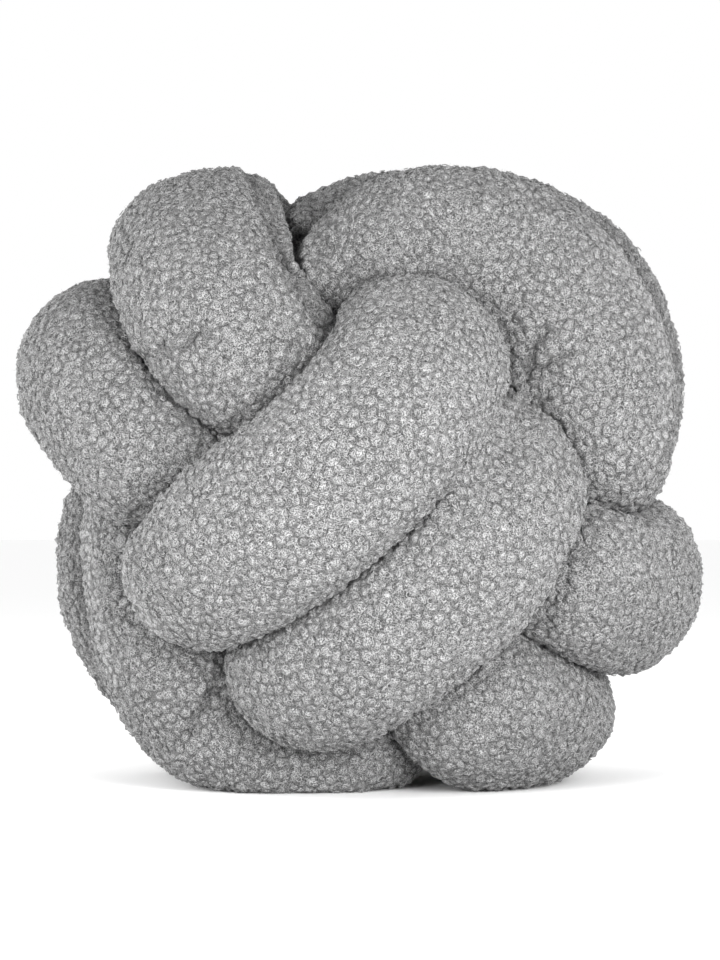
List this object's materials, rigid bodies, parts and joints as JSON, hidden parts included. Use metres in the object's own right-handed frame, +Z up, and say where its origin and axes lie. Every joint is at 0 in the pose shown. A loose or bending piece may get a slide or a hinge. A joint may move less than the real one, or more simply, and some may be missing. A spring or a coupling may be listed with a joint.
{
  "type": "knot ball cushion",
  "caption": "Decorative cushion made of a long stuffed boucle tube tied into a ball of interlocked double rings, resting on a flattened underside.",
  "frame": {"origin": "on the surface that the ball rests on, under the middle of its bounding box", "axes": "+Z up, the ball's lower direction; -Y towards the face shown in the picture; +X to that face's right"},
  "size_m": [0.2934, 0.3066, 0.2679],
  "materials": {
    "boucle": "curly boucle pile, matt, mid grey"
  },
  "bodies": {
    "root": {"knotted_tube": "boucle"}
  },
  "joints": []
}
